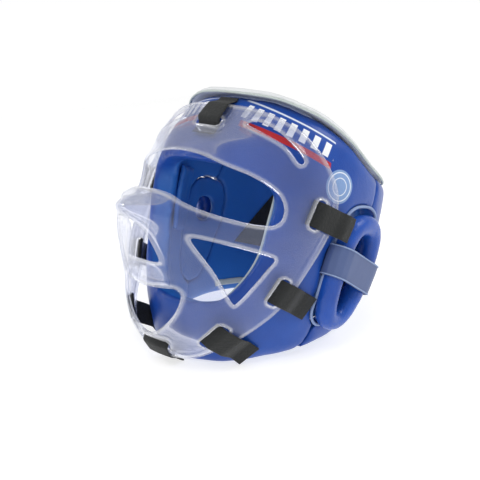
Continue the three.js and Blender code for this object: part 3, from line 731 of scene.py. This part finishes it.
def build_studio():
    """Camera at the photo's angle, a white world that is dimmer overhead, three lights and a white floor."""
    target = Vector((17.65, -45.65 + FORWARD_SHIFT, 14.83 + FLOOR_DROP)) * MM
    look_from(azimuth=41, elevation=17.5, distance=0.65, target=target)
    world = bpy.data.worlds.new("studio")
    world.use_nodes = True
    tree = world.node_tree
    background = tree.nodes["Background"]
    background.inputs["Color"].default_value = (1, 1, 1, 1)
    split = tree.nodes.new("ShaderNodeSeparateXYZ")
    tree.links.new(tree.nodes.new("ShaderNodeTexCoord").outputs["Generated"], split.inputs[0])
    rise = Value(tree, split.outputs[2])
    brightness = 1.02 - (rise / 0.35).clamp() * 0.55
    tree.links.new(brightness.socket, background.inputs["Strength"])
    bpy.context.scene.world = world
    bpy.context.scene.view_settings.view_transform = "Standard"
    soft_light("key", (0.35, -0.75, 1.25), power=6, size=0.7, glints=False)
    soft_light("left", (-1.1, -0.4, 0.7), power=3, size=0.5)
    soft_light("top_back", (0.7, 0.6, 1.1), power=5, size=0.6)
    bm = bmesh.new()
    bmesh.ops.create_grid(bm, x_segments=1, y_segments=1, size=1.5)
    floor = from_bmesh("studio_floor", bm)
    finish = Finish("studio_paper")
    glow = {"Emission_Color": (1, 1, 1, 1), "Emission_Strength": 0.7}
    paper = finish.surface((0.5, 0.5, 0.5, 1), 0.9, None, **glow)
    floor.data.materials.append(finish.close(paper))


# Padded pieces
DENT_SCALE = 28
WRINKLE_SCALE = 70


def soft_piece(name, node, material, slot, voxel, rounds, ripple, fill):
    """Padded copy of a CAD solid: remeshed, its corners rounded by smoothing, with slight dents.

    voxel and ripple, the depth of the dents, are in millimetres. rounds is how often it is smoothed.
    """
    obj = copy_of(node, name)
    remesh(obj, voxel)
    relax(obj, rounds)
    mesh = obj.data
    normals = [vertex.normal.copy() for vertex in mesh.vertices]
    for vertex, normal in zip(mesh.vertices, normals):
        spot = Vector((abs(vertex.co.x), vertex.co.y, vertex.co.z))
        dent = noise.noise(spot * DENT_SCALE) + 0.5 * noise.noise(spot * WRINKLE_SCALE)
        vertex.co += normal * (ripple * MM * dent)
    mesh.update()
    subdivide(obj)
    return finish_piece(obj, material, slot, node, fill=fill)


def build_padding():
    shell = {"material": SHELL, "slot": "shell_blue", "fill": 0.9, "voxel": 3.2, "rounds": 8, "ripple": 0.8}
    crown = {"material": CROWN, "slot": "crown_white", "fill": 0.9, "voxel": 3.0, "rounds": 6, "ripple": 0.5}
    tube = {"material": GUARD, "slot": "guard_blue", "fill": 1.0, "voxel": 2.2, "rounds": 6, "ripple": 0.35}
    lining = {"material": LINING, "slot": "lining_blue", "fill": 0.8}
    temple = {**lining, "voxel": 2.4, "rounds": 7, "ripple": 1.6}
    ear_pad = {**lining, "voxel": 1.8, "rounds": 6, "ripple": 0.7}
    soft_piece("shell_padding", "padded_shell", **shell)
    for side in ("left", "right"):
        soft_piece(f"back_padding_{side}", f"back_panel_{side}", **shell)
        soft_piece(f"temple_padding_{side}", f"temple_pad_{side}", **temple)
        soft_piece(f"ear_lining_pad_{side}", f"ear_lining_{side}", **ear_pad)
        soft_piece(f"ear_tube_{side}", f"ear_guard_{side}", **tube)
    soft_piece("crown_padding", "crown_pad", **crown)


# Clear shield
# It is cut as a flat sheet, at two millimetres to the degree, and then bent onto the head.
FLAT_DEGREE = 2.0
SHIELD_VOXEL = 1.05
# Rounded lips: radius, and where their middle lies from the outer face
EDGE_LIP = (1.9, -1.3)
HOLE_LIP = (2.1, -1.2)
SLOT_LIP = (1.6, -0.8)
# How far from an edge the painted highlight along the lips is at full strength, and over what distance it
# fades
LIP_HIGHLIGHT_FULL = 0.7
LIP_HIGHLIGHT_FADE = 1.3


def flat_prism(outline, low, high):
    """Flat plate with the outline, between two depths from the outer face."""
    bm = bmesh.new()
    spots = [(angle * FLAT_DEGREE * MM, height * HEIGHT * MM, low * MM) for angle, height in outline]
    face = bm.faces.new([bm.verts.new(spot) for spot in spots])
    wall = bmesh.ops.extrude_face_region(bm, geom=[face])
    top = [item for item in wall["geom"] if isinstance(item, bmesh.types.BMVert)]
    bmesh.ops.translate(bm, verts=top, vec=(0, 0, (high - low) * MM))
    bmesh.ops.recalc_face_normals(bm, faces=bm.faces)
    return from_bmesh("flat_prism", bm)


def flat_tube(outline, radius, level):
    """Round bead along the outline, at a depth from the outer face."""
    spots = [(angle * FLAT_DEGREE * MM, height * HEIGHT * MM, level * MM) for angle, height in outline]
    return new_object("flat_tube", tube_mesh("flat_tube", spots, radius, True))


def cut(obj, cutter):
    """Take the cutter out of an object and delete it."""
    modifier = obj.modifiers.new("cut", "BOOLEAN")
    modifier.operation = "DIFFERENCE"
    modifier.solver = "EXACT"
    modifier.object = cutter
    baked(obj)
    mesh = cutter.data
    bpy.data.objects.remove(cutter)
    bpy.data.meshes.remove(mesh)


def join_into(obj, others):
    """Add the meshes of other objects to an object and delete them."""
    bm = bmesh.new()
    bm.from_mesh(obj.data)
    for other in others:
        bm.from_mesh(other.data)
        mesh = other.data
        bpy.data.objects.remove(other)
        bpy.data.meshes.remove(mesh)
    bm.to_mesh(obj.data)
    bm.free()


def distance_to_outline(outline, x, y):
    """Distance from a point to the nearest side of a closed outline."""
    best = 1e9
    for (xa, ya), (xb, yb) in zip(outline, outline[1:] + outline[:1]):
        dx, dy = xb - xa, yb - ya
        share = max(0.0, min(1.0, ((x - xa) * dx + (y - ya) * dy) / (dx * dx + dy * dy + 1e-12)))
        best = min(best, (x - xa - dx * share) ** 2 + (y - ya - dy * share) ** 2)
    return math.sqrt(best)


class StrapCourse:
    """A strap's line over the padding: along it in s, across it in w, both in millimetres."""

    def __init__(self, slot, end):
        self.slot = (slot[0], slot[1] * HEIGHT)
        self.end = (end[0], end[1] * HEIGHT)
        angle, z = (self.slot[0] + self.end[0]) / 2, (self.slot[1] + self.end[1]) / 2
        self.per_degree = (pad_point(angle + 0.5, z) - pad_point(angle - 0.5, z)).length
        self.per_height = (pad_point(self.slot[0], self.slot[1] + 1) - pad_point(*self.slot)).length
        run = Vector((
            (self.end[0] - self.slot[0]) * self.per_degree,
            (self.end[1] - self.slot[1]) * self.per_height,
        ))
        self.length = run.length
        self.along = run.normalized()

    def at(self, s, w):
        return (
            self.slot[0] + (self.along.x * s - self.along.y * w) / self.per_degree,
            self.slot[1] + (self.along.y * s + self.along.x * w) / self.per_height,
        )

    def slot_outline(self):
        half_length, half_width = (STRAP_WIDTH + SLOT_SPARE) / 2, SLOT_WIDTH / 2
        corner = half_width * 0.45
        path = [
            (half_width, corner - half_length), (half_width, 0), (half_width, half_length - corner),
            (half_width - corner, half_length), (corner - half_width, half_length),
            (-half_width, half_length - corner), (-half_width, 0), (-half_width, corner - half_length),
            (corner - half_width, -half_length), (half_width - corner, -half_length),
        ]
        spots = [self.at(s, w) for s, w in path]
        return [(angle, z / HEIGHT) for angle, z in spots]


def shield_holes():
    return [
        smooth_outline(both_sides(EYE_OPENING), 110),
        smooth_outline(both_sides(NOSE_TRIANGLE), 60),
        smooth_outline(both_sides(MOUTH_OPENING), 70),
        smooth_outline(CHEEK_TRIANGLE, 70),
        smooth_outline(mirrored(CHEEK_TRIANGLE), 70),
        smooth_outline(BROW_VENT, 50),
        smooth_outline(mirrored(BROW_VENT), 50),
    ]


def shield_slots():
    slots = []
    for name, slot, end, lands, pair, tail in STRAPS:
        outline = StrapCourse(slot, end).slot_outline()
        slots.append(outline)
        if pair:
            slots.append(mirrored(outline))
    return slots


def mark_lip_highlight(sheet, outlines):
    """Store in an attribute how near each vertex of the flat sheet lies to an edge; the shield's material
    paints a highlight from it along the lips.
    """
    marks = sheet.data.attributes.new("lip_highlight", "FLOAT", "POINT")
    lines = [[(angle * FLAT_DEGREE, height * HEIGHT) for angle, height in outline] for outline in outlines]
    boxes = []
    for line in lines:
        across, up = [spot[0] for spot in line], [spot[1] for spot in line]
        boxes.append((min(across) - 5, max(across) + 5, min(up) - 5, max(up) + 5))
    for index, vertex in enumerate(sheet.data.vertices):
        x, y = vertex.co.x / MM, vertex.co.y / MM
        near = 9.0
        for line, box in zip(lines, boxes):
            if box[0] < x < box[1] and box[2] < y < box[3]:
                near = min(near, distance_to_outline(line, x, y))
        marks.data[index].value = max(0.0, min(1.0, 1 - (near - LIP_HIGHLIGHT_FULL) / LIP_HIGHLIGHT_FADE))


def build_shield():
    edge = smooth_outline(both_sides(SHIELD_OUTLINE), 150)
    holes, slots = shield_holes(), shield_slots()
    sheet = flat_prism(edge, -SHIELD_WALL, 0)
    for outline in holes + slots:
        cut(sheet, flat_prism(outline, -9, 6))
    lips = [flat_tube(edge, *EDGE_LIP)]
    lips += [flat_tube(outline, *HOLE_LIP) for outline in holes]
    lips += [flat_tube(outline, *SLOT_LIP) for outline in slots]
    join_into(sheet, lips)
    sheet.name = "shield"
    remesh(sheet, SHIELD_VOXEL)
    relax(sheet, 4)
    mark_lip_highlight(sheet, [edge] + holes + slots)

    def onto_head(x, y, depth):
        angle, z = x / MM / FLAT_DEGREE, y / MM
        return pad_point(angle, z, shield_lift(angle, z) + depth / MM)

    bend(sheet, onto_head)
    finish_piece(sheet, CLEAR, "clear_plastic", "face_shield")


# Straps
# Gaps of a strap to the padding, to the ear guard, and to the shield under it and over it
PAD_GAP = 0.3
GUARD_GAP = 0.5
OVER_GAP = 0.8
UNDER_GAP = 1.0


def inside_outline(outline, angle, height):
    """Whether a place lies within a closed outline."""
    within = False
    for (xa, ya), (xb, yb) in zip(outline, outline[1:] + outline[:1]):
        if (ya > height) != (yb > height) and angle < (xb - xa) * (height - ya) / (yb - ya) + xa:
            within = not within
    return within


def ease(t):
    """Slow start and slow end between 0 and 1."""
    t = max(0.0, min(1.0, t))
    return t * t * (3 - 2 * t)


def strip(length, width, thickness, along, across):
    """Flat strap with rounded edges, lying along X from 0 and centred on Y, from Z 0 up."""
    bm = bmesh.new()
    bmesh.ops.create_grid(bm, x_segments=along, y_segments=across, size=0.5)
    bmesh.ops.scale(bm, vec=(length, width, 1), verts=bm.verts)
    wall = bmesh.ops.extrude_face_region(bm, geom=bm.faces[:])
    top = [item for item in wall["geom"] if isinstance(item, bmesh.types.BMVert)]
    bmesh.ops.translate(bm, verts=top, vec=(0, 0, thickness))
    bmesh.ops.translate(bm, verts=bm.verts, vec=(length / 2, 0, 0))
    bmesh.ops.recalc_face_normals(bm, faces=bm.faces)
    rims = [edge for edge in bm.edges if edge.calc_face_angle(0) > 1]
    bmesh.ops.bevel(
        bm, geom=rims, offset=thickness * 0.3, segments=2, profile=0.5, affect="EDGES", material=-1,
    )
    return from_bmesh("strap", bm)


def strap_lift(course, lands):
    """How high the strap's underside lies over the padding, at a place along it."""
    outline = smooth_outline(both_sides(SHIELD_OUTLINE), 72)
    samples = [course.length * k / 60 for k in range(61)]
    reach = 0.0
    for s in samples:
        for w in (-STRAP_WIDTH / 2, 0, STRAP_WIDTH / 2):
            angle, z = course.at(s, w)
            if inside_outline(outline, angle, z / HEIGHT):
                reach = s
    half_slot = SLOT_WIDTH / 2 - 0.9

    def landing(angle, z):
        if lands == "pad":
            return PAD_GAP
        point = pad_point(angle, z)
        arm = ear_arm(-1, z)
        radius = EAR_TUBE_RADIUS + GUARD_GAP
        offset = max(-0.8 * radius, min(0.8 * radius, point.y - arm.y))
        return arm.x + math.sqrt(radius ** 2 - offset ** 2) - point.x

    def lift(s, angle, z):
        shield = shield_lift(angle, z)
        under = shield - SHIELD_WALL - STRAP_THICKNESS - UNDER_GAP
        over = shield + OVER_GAP
        through = ease((s + half_slot) / (2 * half_slot))
        down = ease((s - reach - 1.5) / max(1.0, (course.length - reach) * 0.5))
        return (under * (1 - through) + over * through) * (1 - down) + landing(angle, z) * down

    return lift


def build_strap(name, slot, end, lands, tail, mirror):
    course = StrapCourse(slot, end)
    lift = strap_lift(course, lands)
    obj = strip(course.length + tail, STRAP_WIDTH, STRAP_THICKNESS, 34, 10)

    def onto_head(x, y, depth):
        s = x - tail
        angle, z = course.at(s, y)
        point = pad_point(angle, z, lift(s, angle, z) + depth)
        return Vector((-point.x, point.y, point.z)) if mirror else point

    bend(obj, onto_head)
    outward(obj)
    suffix = "" if mirror is None else ("_right" if mirror else "_left")
    obj.name = f"webbing_{name}{suffix}"
    finish_piece(obj, WEBBING, "webbing", f"strap_{name}{suffix}")


def build_straps():
    for name, slot, end, lands, pair, tail in STRAPS:
        for mirror in (False, True) if pair else (None,):
            build_strap(name, slot, end, lands, tail, mirror)
    back = strip(2 * BACK_STRAP_REACH, BACK_STRAP_WIDTH, STRAP_THICKNESS, 40, 12)

    def onto_nape(x, y, depth):
        z = BACK_STRAP_LOW * HEIGHT + BACK_STRAP_WIDTH / 2 + y
        return pad_point(180 - BACK_STRAP_REACH + x, z, 0.4 + depth)

    bend(back, onto_nape)
    outward(back)
    back.name = "webbing_back"
    finish_piece(back, WEBBING, "webbing", "back_strap")


# Trims
def tube_along(name, points, material, slot, radius, closed=True):
    """Round trim along points in the head frame."""
    mesh = tube_mesh(name, [place(point) for point in points], radius, closed)
    return finish_piece(new_object(name, mesh), material, slot)


def on_side(points, sign):
    """Points of the wearer's left side, moved to the right side where sign is -1."""
    return [Vector((sign * point.x, point.y, point.z)) for point in points]


def crown_seam():
    """Line round the foot of the crown, just outside its padding."""
    points = []
    for angle in range(-180, 180, 3):
        top = HEIGHT * read(RIM_TOP, 1, abs(angle))
        edge = pad_point(angle, top - PAD_THICKNESS / 2, 0.2 - CROWN_INSET)
        points.append(Vector((edge.x, edge.y, top + CROWN_GAP + 0.4)))
    return points


def build_trims():
    tube_along("crown_piping", crown_seam(), BINDING, "binding_grey", radius=1.1)
    for side, sign in (("left", 1), ("right", -1)):
        rim = [pad_point(angle, height * HEIGHT, -0.8) for angle, height in smooth_outline(EAR_OPENING, 90)]
        tube_along(f"ear_piping_{side}", on_side(rim, sign), PIPING, "band_blue", radius=1.4)
        band = copy_of(f"ear_band_{side}", f"ear_wrap_{side}")
        remesh(band, 0.9)
        relax(band, 3)
        finish_piece(band, BAND_PAINTED_SHEEN, "band_blue", f"ear_band_{side}")
        for edge, rise in (("top", EAR_BAND_EDGE), ("low", -EAR_BAND_EDGE)):
            line = on_side(band_loop(EAR_BAND_Z + rise * EAR_BAND_HEIGHT), sign)
            tube_along(f"ear_wrap_{edge}_{side}", line, PIPING, "band_blue", radius=0.6)
        binding = copy_of(f"nape_binding_{side}", f"nape_edge_{side}")
        remesh(binding, 0.8)
        relax(binding, 3)
        finish_piece(binding, BINDING, "binding_grey", f"nape_binding_{side}")


def build_inside():
    """Pale seam of the lining at the left of the face opening, and the closing strap's loop panel."""
    rows = curve_through(FACE_OPENING_SIDE, 6)
    seam = [pad_point(angle, height * HEIGHT, -PAD_THICKNESS * SEAM_DEPTH) for angle, height in rows]
    tube_along("face_seam_left", seam, BINDING, "binding_grey", radius=1.6, closed=False)
    panel = strip(1, 1, 0.001, 44, 24)
    for vertex in panel.data.vertices:
        vertex.co.z = PANEL_THICKNESS if vertex.co.z > 0.0005 else 0

    def onto_lining(x, y, depth):
        z = PANEL_MIDDLE + y * PANEL_HEIGHT
        end = PANEL_END + (PANEL_SLANT_FROM - z) * PANEL_SLANT
        return pad_point(PANEL_START + x * (end - PANEL_START), z, depth - BACK_THICKNESS - PANEL_CLEAR)

    bend(panel, onto_lining)
    outward(panel)
    panel.name = "closure_panel"
    finish_piece(panel, WEBBING, "webbing")


build_studio()
build_padding()
build_shield()
build_straps()
build_trims()
build_inside()
